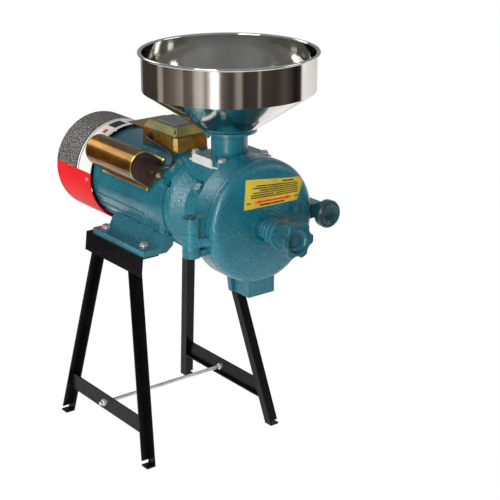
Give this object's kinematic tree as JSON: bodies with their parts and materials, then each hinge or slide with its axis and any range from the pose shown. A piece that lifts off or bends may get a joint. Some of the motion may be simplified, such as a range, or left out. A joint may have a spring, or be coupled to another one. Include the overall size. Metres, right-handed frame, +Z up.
{
  "type": "electric grain mill",
  "caption": "Free-standing electric disc mill for grain: motor on an angle-iron stand, round grinding head with hinged door, feed gate, steel hopper.",
  "frame": {"origin": "on the floor, at the middle of the overall length and width of the mill", "axes": "+Z up, the door and its adjusting knob face -Y, the motor lies towards +Y, the door's hinge is at -X"},
  "size_m": [0.3, 0.6198, 0.7433],
  "materials": {
    "stand_paint": "black paint",
    "bright_steel": "zinc plated",
    "teal_casting": "teal hammertone paint",
    "core_steel": "stacked laminations",
    "copper": "enamelled copper",
    "ground_steel": "ground",
    "black_plastic": "moulded",
    "cowl_paint": "red gloss paint with a printed band",
    "black_rubber": "moulded",
    "gold_zinc": "yellow zinc passivated",
    "plate": "blank black plate",
    "capacitor_case": "grey case",
    "cap_plastic": "dark brown moulding",
    "lead_sheath": "black sheath",
    "grey_steel": "rolled",
    "stainless": "mirror polished",
    "burr_iron": "chilled, grooved",
    "label": "yellow film with a red arrow and ruled lines"
  },
  "bodies": {
    "base": {"body_bolts": "bright_steel", "box_gasket": "black_rubber", "box_lid": "gold_zinc", "cable_gland": "black_plastic", "capacitor": "capacitor_case", "capacitor_base": "gold_zinc", "capacitor_cover": "gold_zinc", "capacitor_end_cap": "cap_plastic", "capacitor_lead": "lead_sheath", "capacitor_screws": "bright_steel", "cowl_screws": "bright_steel", "end_shield": "teal_casting", "fan_cowl": "cowl_paint", "feed_neck": "teal_casting", "foot_bolts": "bright_steel", "foot_nuts": "bright_steel", "front_bearing": "ground_steel", "gate_guides": "grey_steel", "hinge_pin": "bright_steel", "lead_grommet": "black_rubber", "lid_screws": "bright_steel", "mill_body": "teal_casting", "motor_frame": "teal_casting", "neck_bolts": "bright_steel", "oil_plug": "bright_steel", "rating_plate": "plate", "rear_bearing": "ground_steel", "rear_end_shield": "teal_casting", "shaft_seal": "black_rubber", "shield_bolts": "bright_steel", "stand_frame_left": "stand_paint", "stand_frame_right": "stand_paint", "stator_core": "core_steel", "stator_windings": "copper", "terminal_block": "black_plastic", "terminal_box": "gold_zinc", "tie_rod": "bright_steel", "tie_rod_nuts": "bright_steel"},
    "rotor": {"main_shaft": "ground_steel", "rotor_core": "core_steel", "fan": "black_plastic", "feed_auger": "burr_iron", "rotating_burr": "burr_iron", "burr_nut": "bright_steel"},
    "door": {"mill_door": "teal_casting", "door_seal": "black_rubber", "lock_screw": "bright_steel", "door_label": "label"},
    "burr_slide": {"burr_carrier": "teal_casting", "fixed_burr": "burr_iron", "burr_screws": "bright_steel", "thrust_washer": "bright_steel"},
    "knob": {"adjusting_knob": "teal_casting"},
    "clamp_carriage": {"clamp_washer": "bright_steel"},
    "clamp": {"clamp_knob": "teal_casting", "clamp_stud": "bright_steel"},
    "gate": {"gate_plate": "grey_steel"},
    "hopper_body": {"hopper": "stainless"}
  },
  "joints": [
    {"name": "rotor_spin", "type": "hinge", "parent": "base", "child": "rotor", "pos_m": [0, 0.07185, 0.464], "axis": [0, -1, 0], "continuous": true},
    {"name": "door_swing", "type": "hinge", "parent": "base", "child": "door", "pos_m": [-0.126, -0.19015, 0.464], "axis": [0, 0, -1], "range_deg": [0, 110]},
    {"name": "burr_adjust", "type": "slide", "parent": "door", "child": "burr_slide", "axis": [0, 1, 0], "range_m": [-0.004, 0.0008]},
    {"name": "knob_turn", "type": "hinge", "parent": "burr_slide", "child": "knob", "pos_m": [0, -0.26485, 0.464], "axis": [0, 1, 0], "range_deg": [-728, 152]},
    {"name": "clamp_slide", "type": "slide", "parent": "door", "child": "clamp_carriage", "axis": [0, -1, 0], "range_m": [0, 0.0162]},
    {"name": "clamp_turn", "type": "hinge", "parent": "clamp_carriage", "child": "clamp", "pos_m": [0.126, -0.20085, 0.465], "axis": [0, -1, 0], "range_deg": [0, 3896]},
    {"name": "gate_slide", "type": "slide", "parent": "base", "child": "gate", "axis": [-1, 0, 0], "range_m": [0, 0.045]},
    {"name": "hopper_lift", "type": "slide", "parent": "base", "child": "hopper_body", "axis": [0, 0, 1], "range_m": [0, 0.06]}
  ],
  "couplings": [
    {"joint": "knob_turn", "follows": "burr_adjust", "rad_per_m": 3141.6},
    {"joint": "clamp_turn", "follows": "clamp_slide", "rad_per_m": 4188.8}
  ]
}
